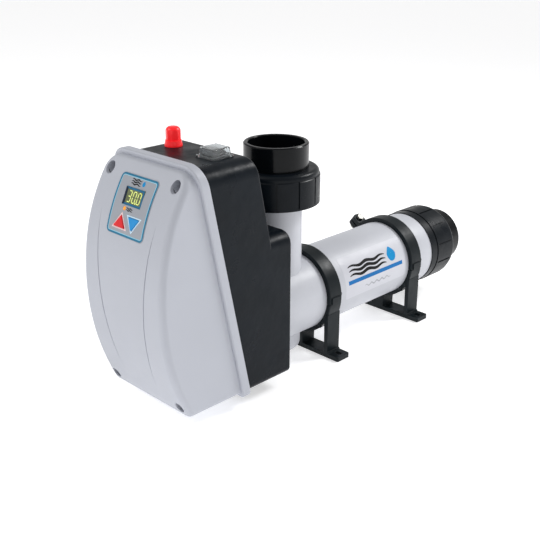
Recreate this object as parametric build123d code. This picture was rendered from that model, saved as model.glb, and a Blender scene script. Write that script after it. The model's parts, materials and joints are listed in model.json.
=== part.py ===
from build123d import *
import math
import os

# Electric in-line pool heater: a plastic tee tube with two pipe unions, two clamp brackets and a
# control enclosure on its front end.
#
# Millimetres, +Z up, the cover faces -Y, the tube runs along +Y. Every size below is measured from
# the tee's centre, where the outlet branch's axis meets the tube's. save() shifts each piece so
# that the finished part stands on z = 0 with its origin in the middle of its footprint.

# ---- driving dimensions ----
AXIS_HEIGHT = 73.4            # tube axis above the underside of the feet
TUBE_R = 47.5
TUBE_WALL = 5.5
TUBE_FRONT = -41.0            # tube end face, against the enclosure's back
TUBE_BACK = 245.5
COLLAR_DEPTH = 16.0           # thick front end that takes the flange screws
COLLAR_BORE_R = 32.0
BRANCH_R = 29.5
BRANCH_BORE_R = 25.0
STUB_BOTTOM = -60.0
STUB_FILLET = 9.0

SOCKET_R = 36.5               # union socket end: 63 mm solvent-cement pipe
SOCKET_BORE_R = 31.6
SOCKET_DEPTH = 38.0
UNION_BORE_R = 27.0
THREAD_R = 41.6
NUT_BODY_R = 48.2
NUT_PANEL_R = 49.4
NUT_BORE_R = 42.0
NUT_PANELS = 12
OUTLET_UNION_Z = 121.0        # underside of the outlet union nut
INLET_UNION_Y = 257.5         # near side of the inlet union nut
UNION_LENGTH = 68.0           # nut underside to socket rim
NUT_HEIGHT = 40.0
SPIGOT_TOP = 24.0             # sealing face above the nut's underside
TAIL_FLANGE = 6.2
RUNNING = 0.1                 # radial running clearance

RING_WIDTH = 21.2
RING_R = 52.8
RING_GAP = 0.1
BRACKET_Y = (36.9, 194.3)     # near face of each bracket
FOOT_HALF = 66.9
FOOT_THICK = 5.8
FOOT_SLOT_X = 58.5
FOOT_SLOT = (9.0, 5.5)
UPRIGHT_X = (44.5, 50.0)
WEB_HALF = 9.7
HOOK_ANGLE = -5.0             # where the strap hooks into the base
LUG_ANGLE = 143.0             # where the clamp lugs meet
LUG_R = 67.5
CLAMP_BOLT_R = 60.5

BOX_HALF = 64.5
BOX_TOP = 197.5
BOX_BOTTOM = -57.0
BOX_WALL = 3.0
TOP_CORNER = 18.0
BOTTOM_CORNER = 7.0
RIM_FOOT_CORNER = 2.5         # sharper lower corners of the rim, as seen at the box wall
DEEP_TOP = 109.5              # top of the deep lower part round the tube end
DEEP_CORNER = 14.0
TILT = 12.0                   # parting plane and upper back lean forward by this angle
PARTING_Y = -117.4            # parting plane where it crosses z = 0
UPPER_BACK_Y = -49.3          # upper back plane where it crosses z = 0
FRONT_R = 265.0               # lower arc of the curved front face
FRONT_Y = 47.4                # its centre
FRONT_Z = 66.9
UPPER_R = 190.0               # upper arc, tangent to the lower one
JOIN_Z = 110.0                # height where they meet
UPPER_BACK_EDGE = 3.0         # rounding between the upper back and the top and sides
CREASE = 6.5
RIM_PROUD = 3.5
RIM_WIDTH = 11.0
RIM_RISE = 2.0                # the rim stands this much higher again above the box top
COVER_SCREWS = ((51.0, 185.0), (53.5, -45.0))
RECESS_R = 6.0
BOSS_R = 8.7

PANEL_Z = 157.0               # centre of the control panel
PANEL = (58.0, 61.5)
PANEL_SHIFT = 1.5             # centre of the label area above the panel's own centre
WINDOW = (29.2, 18.3)         # display opening
WINDOW_V = 10.4
KEY_HALF = 8.6                # half-width of a triangular key
KEY_HEIGHT = 12.5
KEY_U = 9.6
KEY_V = -15.2
KEY_GAP = 0.3
LIGHT_UV = (-8.2, -2.2)       # status light
LIGHT_R = 2.1

LIMITER_XY = (-36.0, -115.0)
SWITCH_XY = (27.0, -114.0)
ROCKER_Z = 196.6              # height of the rocker's pin
SWITCH_REST = 9.0             # rocker tilt at rest, switched off

FLANGE_R = 44.0
FLANGE_THICK = 6.0
FLANGE_PCD_R = 40.0
ELEMENT_R = 4.25
ELEMENT_PCD_R = 22.0
ELEMENT_END = 205.0
POCKET_PCD_R = 24.0
POCKET_R = 4.5
PADDLE_Y = -20.0
PIN_R = 1.5


# ---- building blocks ----
def block(x0, x1, y0, y1, z0, z1):
    centre = Pos((x0 + x1) / 2, (y0 + y1) / 2, (z0 + z1) / 2)
    return centre * Box(x1 - x0, y1 - y0, z1 - z0)


def cyl_z(radius, z0, z1, x=0, y=0):
    return Pos(x, y, (z0 + z1) / 2) * Cylinder(radius, z1 - z0)


def cyl_y(radius, y0, y1, x=0, z=0):
    return Pos(x, (y0 + y1) / 2, z) * Rot(90, 0, 0) * Cylinder(radius, y1 - y0)


def cyl_x(radius, x0, x1, y=0, z=0):
    return Pos((x0 + x1) / 2, y, z) * Rot(0, 90, 0) * Cylinder(radius, x1 - x0)


def tube_z(outer, inner, z0, z1, x=0, y=0):
    return cyl_z(outer, z0, z1, x, y) - cyl_z(inner, z0 - 1, z1 + 1, x, y)


def tube_y(outer, inner, y0, y1, x=0, z=0):
    return cyl_y(outer, y0, y1, x, z) - cyl_y(inner, y0 - 1, y1 + 1, x, z)


def hexagon_z(across_flats, z0, z1, x=0, y=0):
    prism = extrude(RegularPolygon(across_flats / math.sqrt(3), 6), z1 - z0)
    return Pos(x, y, z0) * prism


def ring_points(radius, count, start=0.0):
    """Points (x, z) evenly spaced on a circle round the tube axis."""
    angles = [math.radians(start + 360 * k / count) for k in range(count)]
    return [(radius * math.cos(a), radius * math.sin(a)) for a in angles]


def turned(points):
    """Solid of revolution round Z from its (r, z) outline."""
    return revolve(make_face(Polyline(*[(r, 0, z) for r, z in points], close=True)), Axis.Z)


def save(name, *solids):
    shape = Compound(children=[s for solid in solids for s in solid.solids()])
    export_step(Pos(0, ORIGIN_Y, AXIS_HEIGHT) * shape, f"parts/{name}.step")


# The part reaches from the front face's foremost point to the inlet socket's rim.
LENGTH_Y = (FRONT_Y - FRONT_R, INLET_UNION_Y + UNION_LENGTH)
ORIGIN_Y = -(LENGTH_Y[0] + LENGTH_Y[1]) / 2


# ---- heater tube ----
def heater_tube():
    body = cyl_y(TUBE_R, TUBE_FRONT, TUBE_BACK)
    body += cyl_z(BRANCH_R, 0, OUTLET_UNION_Z + 20)
    stub = cyl_z(BRANCH_R - 0.5, STUB_BOTTOM, 0)
    body += fillet(stub.edges().group_by(Axis.Z)[0], STUB_FILLET)
    collar_back = TUBE_FRONT + COLLAR_DEPTH
    body -= cyl_y(TUBE_R - TUBE_WALL, collar_back, TUBE_BACK + 1)
    body -= cyl_y(COLLAR_BORE_R, TUBE_FRONT - 1, collar_back + 1)
    body -= cyl_z(BRANCH_BORE_R, 0, OUTLET_UNION_Z + 21)
    for x, z in ring_points(FLANGE_PCD_R, 6, 30):
        body -= cyl_y(2.5, TUBE_FRONT - 1, TUBE_FRONT + 12, x, z)
    return body


def threaded_end(wall_r):
    """Threaded union half, its nut's underside at z = 0; wall_r is the pipe it is glued on."""
    outline = [(UNION_BORE_R, 20.2), (wall_r, 20.2), (wall_r, 1.0), (THREAD_R - 1.2, 1.0)]
    pitch = 4.0
    for turn in range(5):
        base = 1.6 + turn * pitch
        outline += [(THREAD_R - 1.2, base), (THREAD_R, base + 0.8)]
        outline += [(THREAD_R, base + 1.8), (THREAD_R - 1.2, base + 2.6)]
    outline += [(THREAD_R - 1.2, SPIGOT_TOP), (UNION_BORE_R, SPIGOT_TOP)]
    groove = tube_z(38.0, 34.0, SPIGOT_TOP - 3.0, SPIGOT_TOP + 1)
    return turned(outline) - groove


def union_seal():
    return Pos(0, 0, SPIGOT_TOP - 1.5) * Torus(36.0, 1.5)


def socket_end():
    flange_top = SPIGOT_TOP + TAIL_FLANGE
    stop = UNION_LENGTH - SOCKET_DEPTH
    outline = [
        (UNION_BORE_R, SPIGOT_TOP),
        (THREAD_R - 0.4, SPIGOT_TOP),
        (THREAD_R - 0.4, flange_top),
        (SOCKET_R, flange_top),
        (SOCKET_R, UNION_LENGTH - 1.2),
        (SOCKET_R - 1.2, UNION_LENGTH),
        (SOCKET_BORE_R + 1.0, UNION_LENGTH),
        (SOCKET_BORE_R, UNION_LENGTH - 1.0),
        (SOCKET_BORE_R, stop),
        (UNION_BORE_R, stop),
    ]
    return turned(outline)


def union_nut():
    """Hand nut with a rounded shoulder and a raised grip panel in each sector."""
    lip = SPIGOT_TOP + TAIL_FLANGE + 0.3
    body = cyl_z(NUT_BODY_R, 0, NUT_HEIGHT)
    body = fillet(body.edges().group_by(Axis.Z)[-1], 5.0)
    body = fillet(body.edges().group_by(Axis.Z)[0], 1.0)
    sleeve = tube_z(NUT_PANEL_R, NUT_BODY_R - 2, 3.0, NUT_HEIGHT - 7.0)
    sleeve = chamfer(sleeve.edges().group_by(Axis.Z)[-1].sort_by(SortBy.LENGTH)[-1], 0.9)
    band = tube_z(NUT_PANEL_R, NUT_BODY_R - 2, 0.8, 3.2)
    for x, y in ring_points(NUT_PANEL_R, NUT_PANELS, 15):
        angle = math.degrees(math.atan2(y, x))
        sleeve -= Rot(0, 0, angle) * block(40, 60, -1.1, 1.1, -1, NUT_HEIGHT)
    body += sleeve + band
    body -= cyl_z(NUT_BORE_R, -1, lip)
    body -= cyl_z(SOCKET_R + RUNNING, lip - 1, NUT_HEIGHT + 1)
    return body


def at_outlet(shape):
    return Pos(0, 0, OUTLET_UNION_Z) * shape


def at_inlet(shape):
    return Pos(0, INLET_UNION_Y, 0) * Rot(-90, 0, 0) * shape


def inlet_collar():
    """Ring glued over the tube's back end, with a spigot inside the tube."""
    bore = UNION_BORE_R
    body = tube_y(TUBE_R + 1.2, bore, TUBE_BACK + 0.02, INLET_UNION_Y - 0.5)
    body += tube_y(TUBE_R - TUBE_WALL - 0.05, 36.0, TUBE_BACK - 18, TUBE_BACK + 3)
    body += tube_y(BRANCH_R - 0.05, bore, TUBE_BACK + 4, INLET_UNION_Y + 20)
    return body


# ---- brackets ----
def wedge(angle0, angle1, reach=120.0):
    """Sector round the tube axis between two angles, over a bracket's width and more."""
    steps = [angle0 + (angle1 - angle0) * k / 4 for k in range(5)]
    points = [(0, 0)] + [
        (reach * math.cos(math.radians(a)), reach * math.sin(math.radians(a))) for a in steps
    ]
    face = make_face(Polyline(*[(x, -50, z) for x, z in points], close=True))
    return extrude(face, amount=100, dir=(0, 1, 0))


def lug(side):
    """Clamp lug on one side of the split; side is +1 for the strap's, -1 for the base's."""
    middle = RING_WIDTH / 2
    plate = block(50.5, LUG_R, middle - 8, middle + 8, 0.6, 6.4)
    plate = fillet(plate.edges().filter_by(Axis.Z).group_by(Axis.X)[-1], 5.0)
    plate -= cyl_z(2.6, -1, 8, CLAMP_BOLT_R, middle)
    if side > 0:
        plate = mirror(plate, Plane.XY)
    return Rot(0, -LUG_ANGLE, 0) * plate


def clamp_ring():
    ring = tube_y(RING_R, TUBE_R + RING_GAP, 0, RING_WIDTH)
    outer = [e for e in ring.edges().filter_by(GeomType.CIRCLE) if e.radius > RING_R - 0.1]
    return fillet(outer, 1.6)


def bracket_base():
    ring = clamp_ring() & wedge(LUG_ANGLE + 0.7, 360 + HOOK_ANGLE - 0.4)
    body = block(-FOOT_HALF, FOOT_HALF, 0, RING_WIDTH, -AXIS_HEIGHT, -AXIS_HEIGHT + FOOT_THICK)
    body = fillet(body.edges().filter_by(Axis.Z), 2.0)
    inner, outer = UPRIGHT_X
    for side in (-1, 1):
        x0, x1 = sorted((side * inner, side * outer))
        body += block(x0, x1, 0, RING_WIDTH, -AXIS_HEIGHT + 1, -18)
        foot = block(x0, x1, 0, RING_WIDTH, -AXIS_HEIGHT + 1, -AXIS_HEIGHT + FOOT_THICK + 1.6)
        body += Pos(side * 1.4, 0, 0) * foot
    body += block(-WEB_HALF, WEB_HALF, 0, RING_WIDTH, -AXIS_HEIGHT + 1, -45)
    body -= cyl_y(TUBE_R + 3, -5, RING_WIDTH + 5)
    for side in (-1, 1):
        slot = extrude(SlotOverall(*FOOT_SLOT), amount=20)
        body -= Pos(side * FOOT_SLOT_X, RING_WIDTH / 2, -AXIS_HEIGHT - 5) * slot
    return body + ring + lug(-1)


def bracket_strap():
    ring = clamp_ring() & wedge(HOOK_ANGLE + 0.4, LUG_ANGLE - 0.7)
    hook = tube_y(RING_R + 1.5, RING_R - 1.0, 3, RING_WIDTH - 3)
    hook = hook & wedge(HOOK_ANGLE + 0.4, HOOK_ANGLE + 9)
    return ring + hook + lug(1)


def clamp_bolt():
    shank = cyl_z(2.5, -6.5, 12.5)
    head = hexagon_z(8.0, -9.9, -6.42)
    return Rot(0, -LUG_ANGLE, 0) * Pos(CLAMP_BOLT_R, RING_WIDTH / 2, 0) * (shank + head)


def clamp_nut():
    nut = cyl_z(5.2, 6.42, 7.4) + hexagon_z(8.0, 7.4, 11.2)
    nut -= cyl_z(2.5, 6, 12)
    return Rot(0, -LUG_ANGLE, 0) * Pos(CLAMP_BOLT_R, RING_WIDTH / 2, 0) * nut


def both_brackets(maker):
    return [Pos(0, y, 0) * maker() for y in BRACKET_Y]


# ---- enclosure ----
def behind(y_at_axis):
    """Everything behind the leaning plane that crosses z = 0 at y_at_axis."""
    return Pos(0, y_at_axis, 0) * Rot(TILT, 0, 0) * block(-300, 300, 0, 600, -600, 600)


def outline(inset, y0, y1, top=BOX_TOP, corner=TOP_CORNER, foot_corner=BOTTOM_CORNER):
    half = BOX_HALF - inset
    prism = block(-half, half, y0, y1, BOX_BOTTOM + inset, top - inset)
    upper = prism.edges().filter_by(Axis.Y).group_by(Axis.Z)[-1]
    prism = fillet(upper, corner - inset)
    lower = prism.edges().filter_by(Axis.Y).group_by(Axis.Z)[0]
    return fillet(lower, foot_corner - inset)


def front_point(angle, inset=0.0):
    """Point (y, z) of the front curve, or of one inset from it, where its normal rises by angle."""
    radius, y, z = (FRONT_R, FRONT_Y, FRONT_Z) if angle <= JOIN_ANGLE else (UPPER_R, UPPER_Y, UPPER_Z)
    return y - (radius - inset) * math.cos(angle), z + (radius - inset) * math.sin(angle)


JOIN_ANGLE = math.asin((JOIN_Z - FRONT_Z) / FRONT_R)
UPPER_Y = FRONT_Y - (FRONT_R - UPPER_R) * math.cos(JOIN_ANGLE)
UPPER_Z = FRONT_Z + (FRONT_R - UPPER_R) * math.sin(JOIN_ANGLE)


def front_form(inset, half=200):
    """Everything behind the front curve."""
    angles = [math.radians(a) for a in (-35, -15)] + [JOIN_ANGLE]
    lower = [(-half, *front_point(a, inset)) for a in angles]
    angles = [math.radians(a) for a in (30, 65)]
    upper = [lower[-1]] + [(-half, *front_point(a, inset)) for a in angles]
    back = Polyline(upper[-1], (-half, 100, upper[-1][2]), (-half, 100, lower[0][2]), lower[0])
    face = make_face(ThreePointArc(*lower) + ThreePointArc(*upper) + back)
    return extrude(face, amount=2 * half, dir=(1, 0, 0))


def enclosure(inset):
    """Outer form of the whole enclosure, or its cavity when inset is the wall thickness."""
    shift = inset / math.cos(math.radians(TILT))
    body = outline(inset, -240, TUBE_FRONT - inset) - behind(UPPER_BACK_Y - shift)
    body &= front_form(inset)
    deep = outline(inset, -100, TUBE_FRONT - inset, DEEP_TOP, DEEP_CORNER)
    return body + deep


def front_surface_y(z):
    if z > JOIN_Z:
        return UPPER_Y - math.sqrt(UPPER_R ** 2 - (z - UPPER_Z) ** 2)
    return FRONT_Y - math.sqrt(FRONT_R ** 2 - (z - FRONT_Z) ** 2)


def parting_y(z):
    return PARTING_Y - math.tan(math.radians(TILT)) * z


def upper_back_y(z):
    return UPPER_BACK_Y - math.tan(math.radians(TILT)) * z


def screw_places():
    return [(side * x, z) for x, z in COVER_SCREWS for side in (-1, 1)]


def rear_housing():
    body = enclosure(0) & behind(PARTING_Y)
    rounded = [
        e for e in body.edges()
        if e.position_at(0.5).Y > TUBE_FRONT - 0.01 and e.position_at(0.5).Z < DEEP_TOP + 1
    ]
    body = fillet(rounded, 3.0)
    on_upper_back = []
    for edge in body.edges():
        spots = [edge.position_at(t) for t in (0.1, 0.5, 0.9)]
        if all(abs(p.Y - upper_back_y(p.Z)) < 0.05 and p.Z > DEEP_TOP + 0.5 for p in spots):
            on_upper_back.append(edge)
    body = fillet(on_upper_back, UPPER_BACK_EDGE)
    body -= enclosure(BOX_WALL)
    for x, z in screw_places():
        back = TUBE_FRONT - 1 if z < DEEP_TOP else upper_back_y(z) - 1
        post = cyl_y(RECESS_R, parting_y(z) - 5, back, x, z)
        body += post & behind(PARTING_Y)
        body -= cyl_y(1.9, parting_y(z) - 10, parting_y(z) + 18, x, z)
    body -= cyl_y(34.0, TUBE_FRONT - 10, TUBE_FRONT + 5)
    for x, z in ring_points(FLANGE_PCD_R, 6, 30):
        body -= cyl_y(2.75, TUBE_FRONT - 10, TUBE_FRONT + 5, x, z)
    body -= cyl_z(5.3, BOX_TOP - 10, BOX_TOP + 5, *LIMITER_XY)
    x, y = SWITCH_XY
    body -= block(x - 9.6, x + 9.6, y - 10.9, y + 10.9, BOX_TOP - 10, BOX_TOP + 5)
    for place in (GLAND, PLUG):
        body -= place * cyl_z(10.2, -10, 5)
    return body


def back_place(x, z):
    """Frame on the upper back wall's outside, its z axis pointing out of the wall."""
    return Plane(origin=(x, upper_back_y(z), z), x_dir=(1, 0, 0), z_dir=(
        0, math.cos(math.radians(TILT)), math.sin(math.radians(TILT)))).location


GLAND = back_place(-38.0, 148.0)
PLUG = back_place(38.0, 148.0)


def accent_line(side):
    """Thin styling groove down the front face, narrowing to a point at each end."""
    top = (side * 43.5, -230, 150.0)
    foot = (side * 26.5, -230, -28.0)
    outer = ThreePointArc(top, (side * 35.9, -230, 62.0), foot)
    inner = ThreePointArc(foot, (side * 34.5, -230, 62.0), top)
    strip = extrude(make_face(outer + inner), amount=60, dir=(0, 1, 0))
    return strip - front_form(0.6)


def front_cover():
    body = enclosure(0) - behind(PARTING_Y)
    on_front = []
    for edge in body.edges():
        spots = [edge.position_at(t) for t in (0.1, 0.5, 0.9)]
        gaps = [abs(p.Y - front_surface_y(p.Z)) for p in spots]
        across_join = max(abs(p.Z - JOIN_Z) for p in spots) < 0.05
        if max(gaps) < 0.05 and not across_join:
            on_front.append(edge)
    body = fillet(on_front, CREASE)
    rim = outline(-RIM_PROUD, -240, 0, BOX_TOP + RIM_RISE, TOP_CORNER, RIM_FOOT_CORNER) - behind(PARTING_Y)
    rim = rim & behind(PARTING_Y - RIM_WIDTH / math.cos(math.radians(TILT)))
    plane_normal = (0, math.cos(math.radians(TILT)), math.sin(math.radians(TILT)))
    across = Axis((0, 0, 0), plane_normal)
    front_loop = rim.faces().sort_by(across)[0].edges()
    back_loop = rim.faces().sort_by(across)[-1].edges()
    rim = fillet(list(front_loop) + list(back_loop), 1.8)
    body += rim
    body -= enclosure(BOX_WALL)
    for x, z in screw_places():
        boss = cyl_y(BOSS_R, front_surface_y(z) + 2, parting_y(z) + 5, x, z)
        body += (boss & enclosure(1.0)) - behind(PARTING_Y)
        seat = parting_y(z) - 14
        body -= cyl_y(RECESS_R, -260, seat, x, z)
        body -= cyl_y(2.3, seat - 5, parting_y(z) + 10, x, z)
    groove = outline(0.3, -240, 0) - outline(2.7, -241, 1)
    body -= groove & behind(PARTING_Y - 1.5)
    body -= accent_line(1)
    body -= accent_line(-1)
    body -= overlay_shell(0.2, 0.5)
    body -= FACE * block(-24, 24, -25, 22.5, -20, 10)
    return body


def cover_gasket():
    ring = outline(0.35, -240, 0) - outline(2.65, -241, 1)
    return (ring & behind(PARTING_Y - 1.45)) - behind(PARTING_Y)


def cover_screws():
    screws = []
    for x, z in screw_places():
        seat = parting_y(z) - 14
        head = fillet(cyl_y(3.6, seat - 2.6, seat, x, z).edges().group_by(Axis.Y)[0], 0.8)
        head -= block(x - 0.5, x + 0.5, seat - 5, seat - 1.4, z - 2.2, z + 2.2)
        head -= block(x - 2.2, x + 2.2, seat - 5, seat - 1.4, z - 0.5, z + 0.5)
        screws.append(head + cyl_y(1.85, seat - 0.5, parting_y(z) + 15, x, z))
    return screws


# ---- control panel: u across, v up, w out of the face ----
LEAN = math.asin((PANEL_Z - UPPER_Z) / UPPER_R)
FACE = Plane(
    origin=(0, front_surface_y(PANEL_Z), PANEL_Z),
    x_dir=(1, 0, 0),
    z_dir=(0, -math.cos(LEAN), math.sin(LEAN)),
).location


def overlay_shell(grow, depth):
    """Rounded label area on the curved face: depth below it, and 0.4 above it."""
    sheet = Pos(0, UPPER_Y, UPPER_Z) * Rot(0, 90, 0) * Cylinder(UPPER_R + 0.4, 400)
    sheet -= Pos(0, UPPER_Y, UPPER_Z) * Rot(0, 90, 0) * Cylinder(UPPER_R - depth, 401)
    width, height = PANEL[0] + grow, PANEL[1] + grow
    area = extrude(RectangleRounded(width, height, 5.0), amount=40)
    return sheet & (FACE * Pos(0, PANEL_SHIFT, -20) * area)


def key_face(side, grow=0.0):
    """Triangle of one key: side -1 points up, side +1 points down."""
    half, height = KEY_HALF + grow, KEY_HEIGHT + grow
    tip = height / 2 if side < 0 else -height / 2
    base = [(-half, -tip), (half, -tip)] if side < 0 else [(half, -tip), (-half, -tip)]
    triangle = Polygon(*base, (0, tip), align=None)
    return Pos(side * KEY_U, KEY_V, 0) * fillet(triangle.vertices(), 0.8)


def control_overlay():
    sheet = overlay_shell(0, 0.45)
    sheet -= FACE * Pos(0, WINDOW_V, 0) * Box(WINDOW[0], WINDOW[1], 20)
    sheet -= FACE * Pos(*LIGHT_UV, 0) * Cylinder(LIGHT_R + 0.1, 20)
    for side in (-1, 1):
        sheet -= FACE * Pos(0, 0, -10) * extrude(key_face(side, 2 * KEY_GAP), amount=20)
    return sheet


def key(side):
    cap = Pos(0, 0, -2.2) * extrude(key_face(side), amount=3.1)
    cap = chamfer(cap.faces().sort_by(Axis.Z)[-1].edges(), 0.4)
    stem = cyl_z(1.8, -4.2, -2.0, side * KEY_U, KEY_V)
    return FACE * (cap + stem)


def tact_switch(side):
    body = Pos(side * KEY_U, KEY_V, -7.2) * Box(6.2, 6.2, 3.5)
    return FACE * (body + cyl_z(1.7, -6, -4.9, side * KEY_U, KEY_V))


def control_board():
    board = Pos(0, 0, -9.75) * Box(61, 54, 1.6)
    for u in (-27.5, 27.5):
        for v in (-24, 24):
            board -= cyl_z(1.6, -12, -8, u, v)
    return FACE * board


def board_spacers():
    places = [(u, v) for u in (-27.5, 27.5) for v in (-24, 24)]
    outer, inner = 2.6, 1.5
    under_wall = -BOX_WALL - (24 + outer) ** 2 / (2 * UPPER_R) - 0.2
    return [FACE * tube_z(outer, inner, -8.93, under_wall, u, v) for u, v in places]


def display_module():
    return FACE * Pos(0, WINDOW_V, -5.4) * Box(27.5, 19.5, 7.0)


def display_window():
    return FACE * Pos(0, WINDOW_V, -0.65) * Box(WINDOW[0] - 0.2, WINDOW[1] - 0.2, 1.5)


def status_light():
    lens = cyl_z(LIGHT_R, -5.0, 0.8, *LIGHT_UV)
    lens = fillet(lens.edges().group_by(Axis.Z)[-1], 1.0)
    return FACE * (lens + cyl_z(1.25, -8.9, -4.9, *LIGHT_UV))


# ---- over-temperature limiter under the top ----
def limiter_body():
    x, y = LIMITER_XY
    body = block(x - 8.5, x + 20, y - 12, y + 12, 160, 189)
    body = fillet(body.edges().filter_by(Axis.Z), 2)
    body += cyl_z(5.2, 188, BOX_TOP + 5.8, x, y)
    return body - cyl_z(2.2, 172, BOX_TOP + 10, x, y)


def limiter_nut():
    x, y = LIMITER_XY
    return hexagon_z(15, BOX_TOP - 6.4, BOX_TOP - 3.05, x, y) - cyl_z(5.25, 180, 200, x, y)


def reset_collar():
    """Flared foot of the reset button, screwed on the limiter's neck."""
    x, y = LIMITER_XY
    outline_rz = [(7.9, 0.02), (9.4, 0.02), (9.4, 1.5), (8.8, 4.2), (8.5, 6.2), (7.9, 6.2)]
    foot = tube_z(7.95, 5.25, 0.02, 2.4)
    return Pos(x, y, BOX_TOP) * (turned(outline_rz) + foot)


def reset_button():
    """Faceted dome that presses the limiter's reset pin."""
    x, y = LIMITER_XY
    dome = fillet(cyl_z(7.8, 5.2, 20.3).edges().group_by(Axis.Z)[-1], 4.6)
    flats = extrude(RegularPolygon(8.0, 8), 30)
    dome = dome & flats
    dome -= cyl_z(5.4, 0, 8.6)
    return Pos(x, y, BOX_TOP) * dome


def reset_pin():
    x, y = LIMITER_XY
    return cyl_z(2.1, 178, BOX_TOP + 8.58, x, y)


# ---- power switch on top ----
def switch_body():
    x, y = SWITCH_XY
    body = block(x - 9.4, x + 9.4, y - 10.7, y + 10.7, 172, BOX_TOP + 1)
    bezel = block(x - 10.4, x + 10.4, y - 11.6, y + 11.6, BOX_TOP, BOX_TOP + 1.3)
    body += fillet(bezel.edges().filter_by(Axis.Z), 2.6)
    body -= block(x - 7.2, x + 7.2, y - 9.6, y + 9.6, 186, BOX_TOP + 5)
    return body - cyl_x(1.27, x - 8.4, x + 8.4, y, ROCKER_Z)


def power_rocker():
    """Rocker, modelled level and then tilted to its off position."""
    outline_yz = [(-9.0, 3.0), (9.0, 3.0), (9.0, 5.2), (0, 3.9), (-9.0, 5.2)]
    face = make_face(Polyline(*[(-6.9, y, z) for y, z in outline_yz], close=True))
    body = extrude(face, amount=13.8, dir=(1, 0, 0))
    body += block(-6.9, 6.9, -6.5, 6.5, -5.0, 3.2) & cyl_x(7.6, -10, 10)
    body -= cyl_x(1.3, -10, 10)
    return Pos(*SWITCH_XY, ROCKER_Z) * Rot(SWITCH_REST, 0, 0) * body


def rocker_pin():
    x, y = SWITCH_XY
    return cyl_x(1.25, x - 8.2, x + 8.2, y, ROCKER_Z)


def splash_boot():
    """Clear flexible cap over the rocker, with a flat foot."""
    foot = Pos(0, 0, 0.85) * Box(27.5, 29.5, 1.7)
    foot = fillet(foot.edges().filter_by(Axis.Z), 3.0)
    dome = extrude(RectangleRounded(23.6, 25.6, 3.0), amount=9.6, taper=6)
    dome = fillet(dome.faces().sort_by(Axis.Z)[-1].edges(), 1.6)
    hollow = extrude(RectangleRounded(21.8, 23.8, 2.2), amount=8.6, taper=6)
    return Pos(*SWITCH_XY, BOX_TOP + 0.02) * (foot + dome - hollow)


# ---- element group ----
def flange_face():
    return TUBE_FRONT - BOX_WALL


def element_places():
    """Leg pairs (x, z) of the three hairpin elements."""
    legs = ring_points(ELEMENT_PCD_R, 6, 60)
    return [(legs[0], legs[1]), (legs[2], legs[3]), (legs[4], legs[5])]


def pocket_places():
    angles = [math.radians(a) for a in (30, 150)]
    return [(POCKET_PCD_R * math.cos(a), POCKET_PCD_R * math.sin(a)) for a in angles]


def element_flange():
    back = flange_face() - 0.02
    body = cyl_y(FLANGE_R, back - FLANGE_THICK, back)
    body += cyl_y(COLLAR_BORE_R - 0.1, back - 1, TUBE_FRONT + 7)
    body -= tube_y(33.0, 29.4, TUBE_FRONT + 1.5, TUBE_FRONT + 4.9)
    for pair in element_places():
        for x, z in pair:
            body -= cyl_y(ELEMENT_R + 0.03, -60, -20, x, z)
    for x, z in pocket_places():
        body -= cyl_y(POCKET_R + 0.03, -60, -20, x, z)
    for x, z in ring_points(FLANGE_PCD_R, 6, 30):
        body -= cyl_y(2.75, -60, -20, x, z)
    earth_x, earth_z = EARTH
    return body - cyl_y(2.5, -60, -46, earth_x, earth_z) - cyl_y(9.03, -60, -20)


EARTH = (33.5 * math.cos(math.radians(300)), 33.5 * math.sin(math.radians(300)))


def flange_seal():
    return Pos(0, TUBE_FRONT + 3.2, 0) * Rot(90, 0, 0) * Torus(30.7, 1.25)


def flange_screws():
    seat = flange_face() - FLANGE_THICK - 0.04
    screws = []
    for x, z in ring_points(FLANGE_PCD_R, 6, 30):
        screw = cyl_y(4.2, seat - 5, seat, x, z) + cyl_y(2.45, seat - 1, TUBE_FRONT + 11, x, z)
        hexagon = Rot(90, 0, 0) * extrude(RegularPolygon(2.3, 6), 3)
        screws.append(screw - Pos(x, seat - 2.5, z) * hexagon)
    return screws


def heating_element(pair):
    """Hairpin: two straight legs joined by a half-ring, with a threaded stud on each leg."""
    (x0, z0), (x1, z1) = pair
    body = cyl_y(ELEMENT_R, -60, ELEMENT_END, x0, z0)
    body += cyl_y(ELEMENT_R, -60, ELEMENT_END, x1, z1)
    span = math.hypot(x1 - x0, z1 - z0)
    turn = math.degrees(math.atan2(z1 - z0, x1 - x0))
    bend = Torus(span / 2, ELEMENT_R) & block(-50, 50, 0, 50, -50, 50)
    body += Pos((x0 + x1) / 2, ELEMENT_END, (z0 + z1) / 2) * Rot(0, -turn, 0) * bend
    for x, z in pair:
        body += cyl_y(2.0, -72, -59, x, z)
    return body


def sensor_pocket(place):
    x, z = place
    body = cyl_y(POCKET_R, -54, 62, x, z)
    body = fillet(body.edges().group_by(Axis.Y)[-1], 3.5)
    return body - cyl_y(POCKET_R - 0.9, -60, 58, x, z)


def temperature_sensor():
    x, z = pocket_places()[1]
    path = [(x, 20, z), (x, -88, z), (x - 8, -110, 60), (x, -150, 120), (x, -178, 128)]
    return cyl_y(3.0, 20, 55, x, z) + lead(path, 1.2, (30, 20, 12))


def limiter_bulb():
    x, z = pocket_places()[0]
    lx, ly = LIMITER_XY
    path = [(x, 0, z), (x, -118, z), (x, -118, 122), (lx, ly, 135), (lx, ly, 159.95)]
    return cyl_y(3.2, 0, 55, x, z) + lead(path, 0.9, (25, 12, 8))


def lead(path, radius, bends):
    """Wire or capillary: straight runs joined by tangent arcs."""
    line = FilletPolyline(*path, radius=bends)
    start = Plane(origin=line @ 0, z_dir=line % 0)
    return sweep(start * Circle(radius), path=line)


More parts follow.
